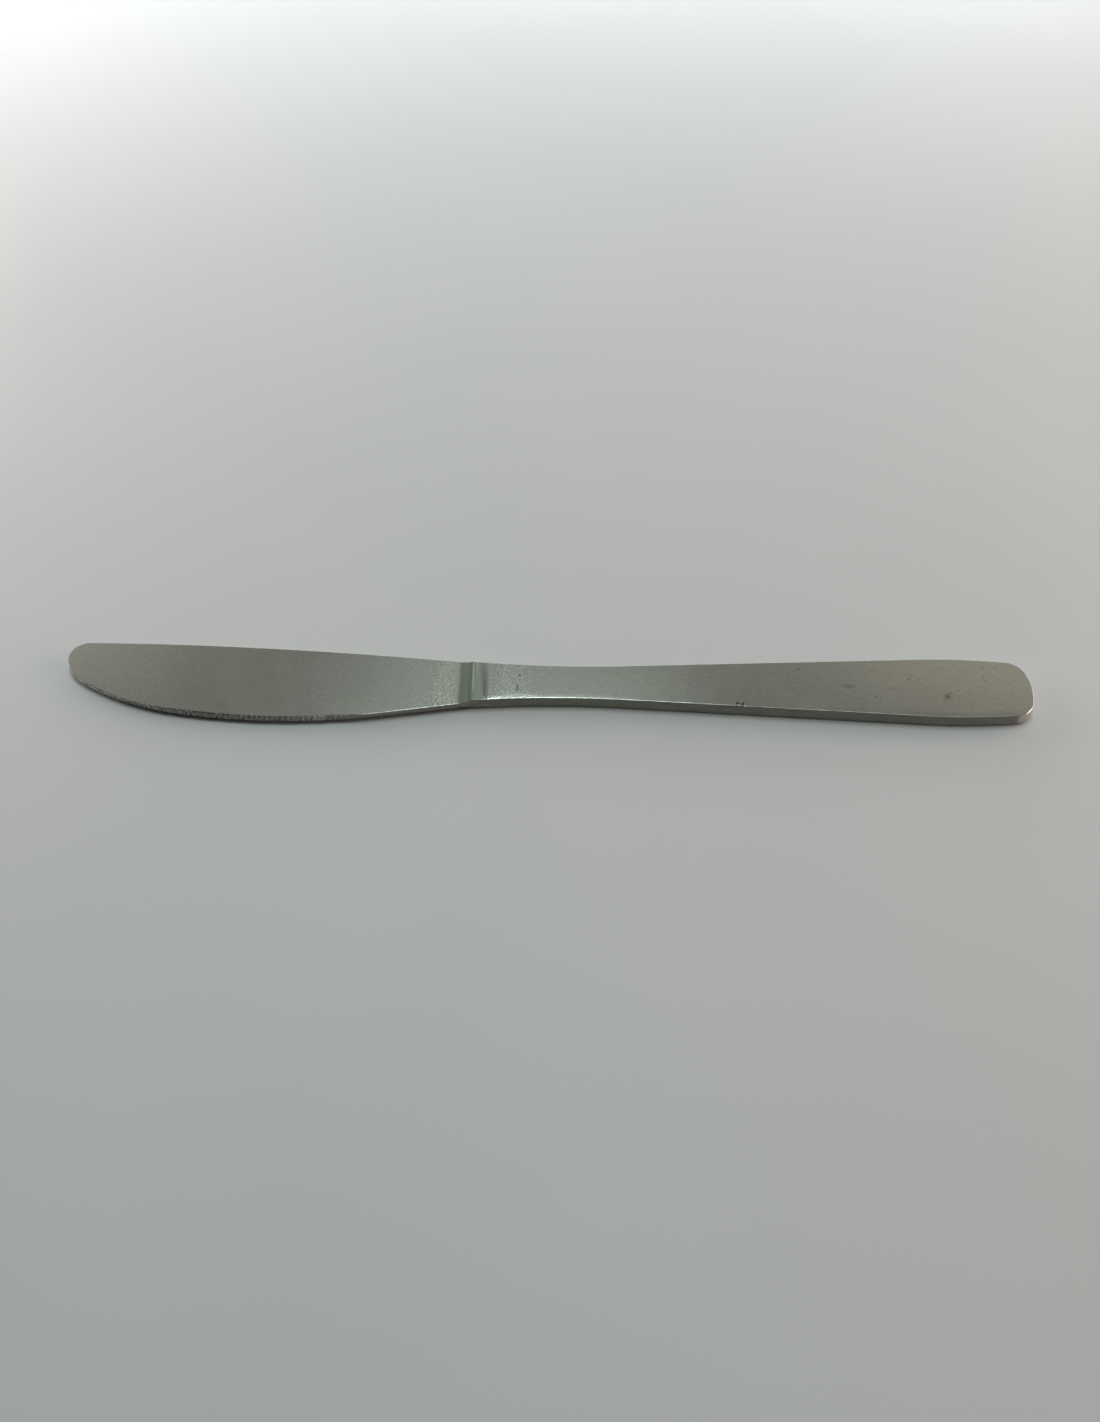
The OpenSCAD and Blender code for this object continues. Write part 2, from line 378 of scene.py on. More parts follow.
def skin(name, rings, values, node, close_last, creased=None):
    """Joins neighbouring rings with four-sided faces. The first ring is capped. The last one
    is capped too, or folds flat on itself and is sewn shut, at a tip. values are numbers for
    each point, kept as attributes for the material. creased says where the front edge has
    sharp corners at the head and the foot of its bevel."""
    rows, cols = rings.shape[:2]
    grid = np.arange(rows * cols).reshape(rows, cols)
    here = grid[:-1]
    ahead = grid[1:]
    quads = np.stack([here, np.roll(here, -1, 1), np.roll(ahead, -1, 1), ahead], axis=-1)
    faces = quads.reshape(-1, 4).tolist() + [grid[0, ::-1].tolist()]
    if not close_last:
        faces.append(grid[-1].tolist())
    mesh = bpy.data.meshes.new(name)
    mesh.from_pydata((rings.reshape(-1, 3) * MM).tolist(), [], faces)
    for label, numbers in values.items():
        layer = mesh.attributes.new(label, "FLOAT", "POINT")
        layer.data.foreach_set("value", numbers.astype(np.float32).ravel())
    work = bmesh.new()
    work.from_mesh(mesh)
    work.verts.ensure_lookup_table()
    for row in np.flatnonzero(creased if creased is not None else []):
        for col in (UPPER_POINTS + HEAD, UPPER_POINTS + FOOT):
            ends = (work.verts[grid[row, col]], work.verts[grid[row + 1, col]])
            work.edges.get(ends).smooth = False
    caps = [face for face in work.faces if len(face.verts) > 4]
    for edge in {edge for face in caps for edge in face.edges}:
        edge.smooth = False
    bmesh.ops.remove_doubles(work, verts=work.verts, dist=SEW_WITHIN)
    bmesh.ops.recalc_face_normals(work, faces=work.faces)
    volume = work.calc_volume() / MM**3
    open_edges = sum(not edge.is_manifold for edge in work.edges)
    work.to_mesh(mesh)
    work.free()
    mesh.polygons.foreach_set("use_smooth", np.ones(len(mesh.polygons), bool))
    piece = bpy.data.objects.new(name, mesh)
    bpy.context.scene.collection.objects.link(piece)
    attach(piece, "root")
    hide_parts(node)
    print(name, "faces", len(mesh.polygons), "volume", round(volume, 1), "open edges", open_edges)
    return piece


# %% [markdown]
# ## Blade
# The blade is ground on a wheel: each face is a plane that thins from the spine to the edge and
# again toward the tip, a little crowned, with a hollow at the root where the wheel lifted off.
# A second, finer grind puts a steep bevel on the upper face, and a toothed roll crosses it with
# small gashes that wear unevenly. Cutting each tooth with a boolean would leave ragged faces, so
# the stations stand ten to a tooth where the bevel runs, and far apart along the plain heel.

# %% Blade faces
tilt_slope = (spine_t - edge_t) / 2 / (spine_rise + belly_drop)
land_top = handle_t - dress_depth
blade_crown = 0.05
land_blend = 0.012


def blade_top(x, y):
    """Upper face: a plane rising from edge to spine, less a slight crown that grows with the
    square of y and a taper that grows with the square of the way into the last 30 mm, then the
    wheel's hollow, r - sqrt(r^2 - d^2), which climbs until it meets the land of the weld."""
    into_tip = np.clip((tip_x + thin_len - x) / thin_len, 0, 1)
    plane = mid_z + edge_t / 2 + (y + belly_drop) * tilt_slope - blade_crown * (y / belly_drop) ** 2
    plane = plane - tip_thin * into_tip**2
    d = np.clip(x - runout_from, 0, runout_r / 2)
    return lower_of(plane + runout_r - np.sqrt(runout_r**2 - d**2), land_top, land_blend)


def blade_under(x, y):
    """Lower face: the upper one mirrored about the middle of the plate."""
    return handle_t - blade_top(x, y)


blade_t = blade_top(belly_x, 0.0) - blade_under(belly_x, 0.0)
print("blade, mm thick in the middle:", round(blade_t, 2))

# %% Stations along the blade
tooth_count = 58
tooth_pitch = 1.1
tooth_depth = 0.3
bevel_w = 0.55
edge_land = 0.25
nose_plain = 3.4
tooth_end = edge_len - nose_plain
tooth_start = tooth_end - tooth_count * tooth_pitch
bevel_lead = 4.0
bevel_start = tooth_start - bevel_lead
root_zone = 4.6
root_step = 0.12
heel_step = 0.4
steps_per_tooth = 10
nose_steps = 46
square_len = 2.5

stations = np.concatenate([
    np.arange(0.0, root_zone, root_step),
    np.arange(root_zone, bevel_start, heel_step),
    np.arange(bevel_start, tooth_end, tooth_pitch / steps_per_tooth),
    np.linspace(tooth_end, edge_len, nose_steps),
])
edge_at, edge_in = walk(edge_path, stations, -1.0)
spine_at, spine_in = walk(spine_path, stations * spine_len / edge_len, 1.0)
square = smooth(1 - stations / square_len)[:, None]
edge_in = edge_in * (1 - square) + np.array([0.0, 1.0]) * square
spine_in = spine_in * (1 - square) + np.array([0.0, -1.0]) * square
print("stations:", len(stations), "teeth from", round(tooth_start, 2), "to", round(tooth_end, 2))

# %% Toothed bevel
wear = np.random.default_rng(11)
bevel_a = np.arctan2(edge_t - edge_land, bevel_w)
phase = (tooth_end - stations) / tooth_pitch
tooth = np.clip(np.floor(phase).astype(int), 0, tooth_count - 1)
gash_size = wear.uniform(0.3, 0.95, tooth_count)[tooth]
gash_shift = wear.uniform(-0.3, 0.3, tooth_count)[tooth]
in_tooth = np.clip(phase - tooth, 0, 1)
in_tooth = in_tooth + gash_shift * in_tooth * (1 - in_tooth)
gash = 1 - np.abs(2 * in_tooth - 1)
toothed = between(stations, tooth_start - 1, tooth_start + 2, tooth_end - 0.5, tooth_end + 0.3)
ground_share = between(stations, bevel_start, bevel_start + 6, tooth_end - 0.8, tooth_end + 1.6)
gash_depth = tooth_depth * gash_size * gash * toothed

edge_x = edge_at[:, :1]
nose_narrowing = 0.46
narrow_from = -66.0
narrow_len = 24.0
gash_reach = 0.3
least_bevel = 0.12
least_wall = 0.03
edge_lower_r = 0.07
bevel_out = nose_narrowing * smooth((narrow_from - edge_x) / narrow_len)
bevel_slope = np.tan(bevel_a)
lift = (gash_depth / np.cos(bevel_a))[:, None]
edge_top = blade_top(edge_x, edge_at[:, 1:])
edge_under = blade_under(edge_x, edge_at[:, 1:])
land_z = mid_z - edge_t / 2 + edge_land + bevel_out * bevel_slope
land_z = np.minimum(land_z, edge_top - least_bevel)
foot_z = np.maximum(land_z - lift, edge_under + edge_lower_r + least_wall)
head = (edge_top - land_z + gash_reach * lift) / bevel_slope
foot = np.maximum((foot_z - land_z + lift) / bevel_slope, 0.0)
ground = (ground_share[:, None], head, foot, foot_z)
print("bevel, degrees:", round(np.degrees(bevel_a), 1))

# %% Skin the blade
root_fade = 3.6
tip_fade_from = edge_len - 16
near_root = smooth(1 - stations / root_fade)
near_tip = smooth((stations - tip_fade_from) / 6)
heel_r = 0.085
sharp_r = 0.015
spine_edge_r = 0.035
tip_sharper = 0.022
weld_back_r = 0.05
nose_r_upper = 0.01
plain_r = heel_r + (sharp_r - heel_r) * near_root
plain_r = plain_r + (nose_r_upper - heel_r) * smooth((stations - tooth_start) / 8.0)
lower_r = edge_lower_r + (edge_r - edge_lower_r) * near_root
blade_front = edge_ring(edge_at, edge_in, blade_top, blade_under, plain_r, lower_r, ground)
spine_r_upper = spine_edge_r + (weld_back_r - spine_edge_r) * near_root - tip_sharper * near_tip
blade_back = edge_ring(spine_at, spine_in, blade_top, blade_under, spine_r_upper, lower_r)
rings = plate_rings(blade_back, blade_front, blade_top, blade_under)
ones = np.ones((len(stations), 1))
bevel_on = np.concatenate([np.zeros(HEAD), smooth(TURN * 1.3), np.zeros(EDGE_COUNT - FOOT - 1)])
low_wall = np.concatenate([np.zeros(FOOT + 1), np.ones(EDGE_COUNT - FOOT - 3), [0, 0]])
front_wall = ground_share[:, None] * low_wall + (1 - ground_share[:, None]) * SIDE_WALL
# At the nose the wall keeps the face's lighter colour, as painted light where it faces the lit side
nose_painted_light = 0.95 * between(edge_x, -101.5, -99.0, -94.0, -86.0)
front_wall = front_wall * (1 - nose_painted_light)
gash_on = np.maximum(bevel_on, low_wall)
marks = {
    "side_wall": over_ring(front_wall, ones * SIDE_WALL),
    "bevelled": over_ring(ground_share[:, None] * bevel_on),
    "gashed": over_ring((gash * gash_size * toothed)[:, None] * gash_on),
}
creased = (ground_share > 0.5)[:-1]
blade = skin("ground_blade", rings, marks, "blade", True, creased)

# %% [markdown]
# ## Weld
# The blade and the handle are butted together and welded, and the seam is dressed on a belt
# until it lies just under the handle's faces. A fine raised line is left across it, with a
# shorter one beside it. Both are ridges, and their colour is also lightened as a painted
# highlight.

# %% Weld faces
weld_line_w = 0.13
weld_line_h = 0.03
long_line_x = -15.05
long_line_lean = 0.03
short_line_x = -14.3


def weld_ridge(x, y):
    """Share of the ridges' height: two bell curves in x. One dies out toward the front, and the
    other stands only on the back half."""
    long_line = bell((x - long_line_x + long_line_lean * y) / weld_line_w)
    short_line = bell((x - short_line_x) / weld_line_w)
    return long_line * smooth((y + root_y) / 10) + short_line * smooth((y - 0.5) / 3)


def weld_top(x, y):
    """Upper face of the weld: the end of the wheel's hollow, then a level land with two low
    ridges along it."""
    return blade_top(x, y) + weld_line_h * weld_ridge(x, y)


def weld_under(x, y):
    """Lower face of the weld, the upper one mirrored."""
    return handle_t - weld_top(x, y)


weld_t = weld_top(handle_front, 0.0) - weld_under(handle_front, 0.0)
print("weld, mm thick at the handle:", round(weld_t, 2))

# %% Skin the weld
weld_x = np.linspace(blade_end, handle_front, 41)
weld_back_at = np.stack([weld_x, waist(weld_x)], axis=1)
weld_front_at = weld_back_at * np.array([1.0, -1.0])
up = np.broadcast_to(np.array([0.0, 1.0]), weld_back_at.shape)
weld_front = edge_ring(weld_front_at, up, weld_top, weld_under, sharp_r, edge_r)
weld_back = edge_ring(weld_back_at, -up, weld_top, weld_under, weld_back_r, edge_r)
rings = plate_rings(weld_back, weld_front, weld_top, weld_under)
ones = np.ones((len(weld_x), 1))
marks = {
    "side_wall": over_ring(ones * SIDE_WALL, ones * SIDE_WALL),
    "ridge_highlight": weld_ridge(rings[..., 0], rings[..., 1]),
}
weld = skin("weld_seam", rings, marks, "weld_band", False)

# %% [markdown]
# ## Handle
# The handle is sheared from 3 mm strip, which leaves a side wall that is smooth above and torn
# below, and its corners are only just broken. At the weld its end is dressed down. Polishing
# lets the face fall away a little toward the front edge, and the round is fuller at the front
# corner of the butt. Use has put two small nicks into that edge and rubbed it bright toward the
# butt. Colour adds painted shade in the nicks and at the top of the wall, and a painted
# highlight along that rubbed corner.

# %% Handle faces
handle_crown = 0.06
dress_blend = 0.004
dress_lean = 0.12
dress_growth = 0.08


def dressing(x, y):
    """Height of the dressed end: a level land, then a straight ramp that starts further from
    the butt toward the back and is longer there, since the belt was held a little askew."""
    into_ramp = np.maximum(x - dress_from + dress_lean * y, 0)
    return land_top + dress_depth * into_ramp / (dress_len + dress_growth * (y + neck_w / 2))


def handle_top(x, y):
    """Upper face: level but for a slight crown that grows with the square of y, and with the
    dressing at the weld end."""
    return lower_of(dressing(x, y), handle_t - handle_crown * (y / butt_w * 2) ** 2, dress_blend)


def handle_under(x, y):
    """Lower face, the upper one mirrored, which the knife rests on."""
    return handle_t - handle_top(x, y)


handle_edge_t = handle_top(neck_x, neck_w / 2) - handle_under(neck_x, neck_w / 2)
print("handle, mm thick at the side of the neck:", round(handle_edge_t, 2))

# %% Stations along the handle, closer at the weld, round the nicks and at the butt
weld_zone = 3.0
butt_zone = handle_side_len - 16
nick_zone = (53.8, 57.2)
handle_square_len = 2.0
handle_stations = np.unique(np.concatenate([
    np.linspace(0, weld_zone, 31),
    np.linspace(weld_zone, butt_zone, 250),
    np.linspace(butt_zone, handle_side_len, 90),
    np.linspace(*nick_zone, 60),
]).round(4))
handle_stations[-1] = handle_side_len
side_at, side_in = walk(handle_path, handle_stations, -1.0)
side_in[-1] = (-1.0, 0.0)
square = smooth(1 - handle_stations / handle_square_len)[:, None]
side_in = side_in * (1 - square) + np.array([0.0, -1.0]) * square
along_x = side_at[:, 0]
print("stations:", len(handle_stations), "from", round(along_x[0], 2), "to", round(along_x[-1], 2))

# %% Corners and shoulder of the handle
nick_w = 0.2
nick_depth = 0.2
nick_places = (40.5, 41.75)
butt_glint_r = 0.32
butt_glint_at = handle_side_len - 6.5
butt_glint_w = 0.95
neck_shoulder = 1.3
butt_shoulder = 1.6
ripple = 0.3 * np.sin(along_x * 0.9) * np.sin(along_x * 0.23 + 1.0)
past_weld = smooth((along_x - dress_from - dress_len) / 2.5)
near_neck = smooth((24 - along_x) / 10)
near_butt = between(along_x, 40, 70, 97, 101)
at_corner = bell((handle_stations - butt_glint_at) / butt_glint_w)
rolled = smooth(along_x - dress_from)
roll_at = [-12, -8, 3, 12, 22, 32, 44, 60, 62.8, 64, 65.2]
roll_r = [0.03, 0.03, 0.022, 0.026, 0.065, 0.1, 0.075, 0.06, 0.06, 0.09, 0.06]
corner_r = np.interp(along_x, roll_at, roll_r)
corner_r = sharp_r + (corner_r - sharp_r) * rolled
front_r_upper = corner_r * (1 + ripple * past_weld) + butt_glint_r * at_corner
back_r_upper = weld_back_r - 0.015 * past_weld - 0.02 * smooth((along_x - 92) / 6)
shoulder_w = (neck_shoulder * near_neck * rolled + butt_shoulder * near_butt)[:, None]
tilt_at = [-11, -6, 3, 12, 24, 40, 70]
tilt_degrees = [6.0, 4.8, 5.0, 4.0, 2.0, 1.0, 1.6]
shoulder_tilt = np.radians(np.interp(along_x, tilt_at, tilt_degrees) * rolled)[:, None]
foot_r = edge_r - 0.22 * past_weld
dent = sum(nick_depth * bell((along_x - at) / nick_w) for at in nick_places)
# The front corner is rubbed bright here, and its colour is lightened as a painted highlight
burnish_and_highlight = between(along_x, 42, 52, 97, 101) * (0.75 + ripple)
print("widest corner, mm:", round(front_r_upper.max(), 3))

# %% Skin the handle
flip = np.array([1.0, -1.0])
# Depth of a nick, in mm, at which its painted shade is full
nick_shade_at = 0.25
handle_front_ring = edge_ring(
    side_at * flip, side_in * flip, handle_top, handle_under,
    front_r_upper + dent, foot_r, shoulder=(shoulder_w, shoulder_tilt),
)
handle_back_ring = edge_ring(side_at, side_in, handle_top, handle_under, back_r_upper, foot_r)
rings = plate_rings(handle_back_ring, handle_front_ring, handle_top, handle_under)
ones = np.ones((len(handle_stations), 1))
marks = {
    "side_wall": over_ring(ones * SIDE_WALL, ones * SIDE_WALL),
    "nick_shade": over_ring(np.clip(dent / nick_shade_at, 0, 1)[:, None] * CORNER),
    "torn": over_ring(ones * TORN_AND_SHADE, ones * TORN_AND_SHADE),
    "burnished_and_highlight": over_ring(burnish_and_highlight[:, None] * CORNER),
}
handle = skin("flat_handle", rings, marks, "handle", True)

# %% [markdown]
# ## Steel finishes
# Satin steel is a metal with fine scratches. Metallic 1 with a grey base colour gives the
# metal, and the finish is in how rough each place is and which way its scratches run. The
# effects that more than one piece shares are node groups, built once.

# %% Small helpers for nodes
def put(tree, kind, sockets=None, **settings):
    """Adds one node, with its properties and with its sockets set or linked, and returns it."""
    made = tree.nodes.new(kind)
    for name, value in settings.items():
        setattr(made, name, value)
    for name, value in (sockets or {}).items():
        if isinstance(value, bpy.types.NodeSocket):
            tree.links.new(value, made.inputs[name])
        else:
            made.inputs[name].default_value = value
    return made


def math_of(tree, operation, a, b):
    """One Math node on two values, giving its output socket."""
    return put(tree, "ShaderNodeMath", {0: a, 1: b}, operation=operation).outputs[0]


def plus(tree, a, b):
    """The sum of two values."""
    return math_of(tree, "ADD", a, b)


def times(tree, a, b):
    """The product of two values."""
    return math_of(tree, "MULTIPLY", a, b)


def spread(tree, value, low, high, to_low, to_high, kind="SMOOTHSTEP"):
    """Maps a value from one range to another and clips it there."""
    sockets = {
        "Value": value,
        "From Min": low, "From Max": high,
        "To Min": to_low, "To Max": to_high,
    }
    return put(tree, "ShaderNodeMapRange", sockets, interpolation_type=kind).outputs[0]


def new_group(name, inputs, outputs):
    """An empty shader group with named sockets. Gives its tree, the values that come in and the
    sockets where its results go."""
    tree = bpy.data.node_groups.new(name, "ShaderNodeTree")
    for label, kind, value in inputs:
        socket = tree.interface.new_socket(label, in_out="INPUT", socket_type=kind)
        socket.default_value = value
    for label in outputs:
        tree.interface.new_socket(label, in_out="OUTPUT", socket_type="NodeSocketFloat")
    return tree, put(tree, "NodeGroupInput").outputs, put(tree, "NodeGroupOutput").inputs


# %% Group: fine lines of a belt or a wheel
grain_group, given, result = new_group(
    "polishing_lines",
    [("Lines per metre", "NodeSocketVector", (100.0, 100.0, 100.0))],
    ["Lines"],
)
place = put(grain_group, "ShaderNodeTexCoord").outputs["Object"]
sockets = {"Vector": place, "Scale": given["Lines per metre"]}
stretched = put(grain_group, "ShaderNodeMapping", sockets)
lines = put(
    grain_group,
    "ShaderNodeTexNoise",
    {"Vector": stretched.outputs[0], "Scale": 1.0, "Detail": 5.0, "Roughness": 0.62},
)
grain_group.links.new(lines.outputs["Fac"], result["Lines"])
print(grain_group.name, "nodes:", len(grain_group.nodes))

# %% Group: soft patches left by handling and washing
haze_group, given, result = new_group(
    "handling_haze", [("Patches per metre", "NodeSocketFloat", 60.0)], ["Haze"]
)
place = put(haze_group, "ShaderNodeTexCoord").outputs["Object"]
clouds = put(
    haze_group,
    "ShaderNodeTexNoise",
    {"Vector": place, "Scale": given["Patches per metre"], "Detail": 3.0, "Roughness": 0.55},
)
haze = spread(haze_group, clouds.outputs["Fac"], 0.3, 0.7, 0.0, 1.0)
haze_group.links.new(haze, result["Haze"])
print(haze_group.name, "nodes:", len(haze_group.nodes))

# %% Group: pits in the surface
pit_group, given, result = new_group(
    "small_pits",
    [
        ("Pits per metre", "NodeSocketFloat", 2500.0),
        ("Share", "NodeSocketFloat", 0.4),
    ],
    ["Pits"],
)
place = put(pit_group, "ShaderNodeTexCoord").outputs["Object"]
sockets = {"Vector": place, "Scale": given["Pits per metre"]}
cells = put(pit_group, "ShaderNodeTexVoronoi", sockets)
which = put(pit_group, "ShaderNodeSeparateColor", {0: cells.outputs["Color"]})
chosen = math_of(pit_group, "LESS_THAN", which.outputs[0], given["Share"])
round_pit = spread(pit_group, cells.outputs["Distance"], 0.12, 0.4, 1.0, 0.0)
pits = times(pit_group, chosen, round_pit)
pit_group.links.new(pits, result["Pits"])
print(pit_group.name, "nodes:", len(pit_group.nodes))

# %% Group: one mark at a known place
mark_group, given, result = new_group(
    "single_mark",
    [
        ("Centre", "NodeSocketVector", (0.0, 0.0, 0.0)),
        ("Half size", "NodeSocketVector", (0.001, 0.001, 0.001)),
        ("Ragged", "NodeSocketFloat", 0.5),
    ],
    ["Mark"],
)
place = put(mark_group, "ShaderNodeTexCoord").outputs["Object"]
sockets = {0: place, 1: given["Centre"]}
off = put(mark_group, "ShaderNodeVectorMath", sockets, operation="SUBTRACT")
sockets = {0: off.outputs[0], 1: given["Half size"]}
off = put(mark_group, "ShaderNodeVectorMath", sockets, operation="DIVIDE")
reach = put(mark_group, "ShaderNodeVectorMath", {0: off.outputs[0]}, operation="LENGTH")
torn = put(mark_group, "ShaderNodeTexNoise", {"Vector": place, "Scale": 2600.0, "Detail": 2.0})
torn = math_of(mark_group, "SUBTRACT", torn.outputs["Fac"], 0.5)
torn = times(mark_group, torn, given["Ragged"])
reach = plus(mark_group, reach.outputs["Value"], torn)
mark_group.links.new(spread(mark_group, reach, 0.35, 1.0, 1.0, 0.0), result["Mark"])
print(mark_group.name, "nodes:", len(mark_group.nodes))

# %% Colours and gloss of the steel, and the band where the wheel ran out, which is painted darker as shade
STEEL = (0.605, 0.61, 0.557, 1.0)
STEEL_DULL = (0.56, 0.565, 0.512, 1.0)
SHEARED = (0.34, 0.335, 0.285, 1.0)
# Darker sheared steel, also painted at the top of the handle's wall as shade
SHEARED_DARK = (0.23, 0.225, 0.195, 1.0)
WELDED = (0.4, 0.44, 0.395, 1.0)
WELDED_DULL = (0.37, 0.41, 0.36, 1.0)
GROUND = (0.66, 0.65, 0.6, 1.0)
GROUND_DARK = (0.28, 0.275, 0.25, 1.0)
POLISHED = (0.56, 0.54, 0.5, 1.0)
# Dark grey-green, painted as shade over the run-out and mixed into the dressed end
SHADE_AND_TINT = (0.27, 0.335, 0.275, 1.0)
# Light grey for specks, and for the painted highlight on the weld's ridges
BRIGHT = (0.76, 0.81, 0.76, 1.0)
# Near white for flecks on the bevel, and for the painted highlight on the handle's front corner
FLECK = (0.95, 0.94, 0.9, 1.0)
# Near black for dirt, pits and marks, and for painted shade in the gashes and the nicks
DIRT_AND_SHADE = (0.06, 0.057, 0.05, 1.0)
FACE_ROUGH = (0.18, 0.2)
RUNOUT_BAND = (-18.8, -15.4, -15.3, -15.1)
print("plain steel:", STEEL[:3])

# %% Helpers for materials
MICRON = 0.000001
MARK_RAGGED = 0.9
# Sockets of a Mix node that holds colours, which share their names with those for numbers
MIX_SHARE = 0
MIX_A = 6
MIX_B = 7
MIX_RESULT = 2


def new_material(name, metallic=1.0):
    """A new material and its node tree, with a Principled shader linked to its output."""
    material = bpy.data.materials.new(name)
    material.use_nodes = True
    tree = material.node_tree
    tree.nodes.clear()
    shader = put(tree, "ShaderNodeBsdfPrincipled", {"Metallic": metallic})
    put(tree, "ShaderNodeOutputMaterial", {"Surface": shader.outputs[0]})
    return material, tree


def give_finish(piece, material, colour, rough, height):
    """Links colour, roughness and bump heights, in microns, and gives the piece its material."""
    tree = material.node_tree
    shader = tree.nodes["Principled BSDF"]
    bump = put(tree, "ShaderNodeBump", {"Height": height, "Distance": MICRON, "Strength": 1.0})
    tree.links.new(colour, shader.inputs["Base Color"])
    tree.links.new(rough, shader.inputs["Roughness"])
    tree.links.new(bump.outputs[0], shader.inputs["Normal"])
    piece.data.materials.append(material)
    print(material.name, "on", piece.name, "with", len(tree.nodes), "nodes")


def use_group(tree, group, sockets):
    """Places a group in a material with its own values and gives its first output."""
    return put(tree, "ShaderNodeGroup", sockets, node_tree=group).outputs[0]


def lines_of(tree, per_metre):
    """Fine lines, so many to the metre along X, Y and Z."""
    return use_group(tree, grain_group, {"Lines per metre": per_metre})


def haze_of(tree, per_metre):
    """Soft patches, so many to the metre."""
    return use_group(tree, haze_group, {"Patches per metre": per_metre})


def attribute(tree, name):
    """Reads one of the numbers stored on the piece's own points."""
    return put(tree, "ShaderNodeAttribute", attribute_name=name).outputs["Fac"]


def mixed(tree, share, a, b, blend="MIX"):
    """Mixes two colours by a share and gives the colour."""
    sockets = {MIX_SHARE: share, MIX_A: a, MIX_B: b}
    node = put(tree, "ShaderNodeMix", sockets, data_type="RGBA", blend_type=blend)
    return node.outputs[MIX_RESULT]


def along_knife(tree, start, full, full_end, end):
    """A share that is 1 between two places along the knife and fades out on both sides, in mm."""
    place = put(tree, "ShaderNodeTexCoord").outputs["Object"]
    x = put(tree, "ShaderNodeSeparateXYZ", {0: place}).outputs["X"]
    rise = spread(tree, x, start * MM, full * MM, 0.0, 1.0)
    fall = spread(tree, x, full_end * MM, end * MM, 1.0, 0.0)
    return times(tree, rise, fall)


def marked(tree, colour, marks):
    """Darkens a colour at single marks, each with its place, half sizes in mm and strength."""
    for x, y, half_x, half_y, strength in marks:
        sockets = {
            "Centre": (x * MM, y * MM, handle_t * MM),
            "Half size": (half_x * MM, half_y * MM, 1.0),
            "Ragged": MARK_RAGGED,
        }
        mask = use_group(tree, mark_group, sockets)
        colour = mixed(tree, times(tree, mask, strength), colour, DIRT_AND_SHADE)
    return colour


# %% Spots and scratches on the handle, and the painted shade of its nicks: place, half sizes and strength
handle_marks = (
    (84.8, -2.5, 1.3, 1.2, 0.28),
    (84.7, -2.6, 0.6, 0.6, 0.45),
    (84.0, -3.4, 0.45, 0.5, 0.25),
    (85.6, -1.5, 0.4, 0.6, 0.25),
    (64.4, 0.0, 1.9, 0.85, 0.22),
    (73.4, -0.65, 3.4, 0.5, 0.12),
    (69.8, -2.85, 0.5, 0.45, 0.35),
    (77.3, 2.1, 0.45, 0.45, 0.3),
    (93.2, 3.2, 0.3, 0.9, 0.25),
    (93.6, 2.0, 0.4, 0.4, 0.25),
    (93.5, 5.8, 0.4, 0.7, 0.2),
    (96.2, 5.8, 0.4, 0.6, 0.2),
    (84.9, 5.6, 0.4, 0.5, 0.2),
    (54.3, 4.7, 0.6, 0.5, 0.25),
    (12.3, 3.3, 0.35, 0.35, 0.22),
    (36.6, -3.4, 0.18, 2.2, 0.1),
    (59.8, 0.1, 0.18, 2.8, 0.1),
    (-5.2, 1.65, 0.45, 0.5, 0.65),
    (-5.6, -1.95, 0.34, 1.4, 0.7),
    (-12.6, -1.5, 0.22, 2.6, 0.3),
    # The next three darken the two nicks, as painted shade in the dents
    (40.5, -5.3, 0.42, 0.55, 0.95),
    (41.1, -5.45, 0.3, 0.4, 0.6),
    (41.75, -5.4, 0.42, 0.55, 0.95),
)
print("marks on the handle:", len(handle_marks))

# %% Handle finish
material, tree = new_material("tumbled_satin_steel")
lines = lines_of(tree, (420.0, 2400.0, 2400.0))
haze = haze_of(tree, 120.0)
peel = haze_of(tree, 2800.0)
grit = haze_of(tree, 2600.0)
pits = use_group(tree, pit_group, {"Pits per metre": 1700.0, "Share": 0.3})
shear_lines = lines_of(tree, (300.0, 300.0, 2400.0))
wall = attribute(tree, "side_wall")
nick_shade = attribute(tree, "nick_shade")
pitted = along_knife(tree, -12.8, -8.0, -6.0, 1.5)
colour = mixed(tree, spread(tree, lines, 0.3, 0.7, 0.0, 1.0), STEEL, STEEL_DULL)
colour = mixed(tree, times(tree, pits, times(tree, pitted, 0.16)), colour, DIRT_AND_SHADE)
specks = mixed(tree, grit, BRIGHT, DIRT_AND_SHADE)
colour = mixed(tree, times(tree, pitted, 0.48), colour, specks)
colour = marked(tree, colour, handle_marks)
# The dressed end is mixed toward the same darker grey-green
dressed = along_knife(tree, -14.5, -14.2, -12.6, -11.6)
colour = mixed(tree, times(tree, dressed, 0.45), colour, SHADE_AND_TINT)
colour = mixed(tree, times(tree, peel, 0.16), colour, DIRT_AND_SHADE)
# Painted highlight along the front corner toward the butt, where it is also rubbed bright
colour = mixed(tree, attribute(tree, "burnished_and_highlight"), colour, FLECK)
# The top of the side wall is painted darker than the torn part below it, as painted shade
sheared = mixed(tree, attribute(tree, "torn"), SHEARED_DARK, SHEARED)
sheared = mixed(tree, spread(tree, shear_lines, 0.3, 0.8, 0.0, 0.3), sheared, DIRT_AND_SHADE)
sheared = mixed(tree, along_knife(tree, 98.2, 99.6, 104.0, 105.0), sheared, POLISHED)
colour = mixed(tree, wall, colour, sheared)
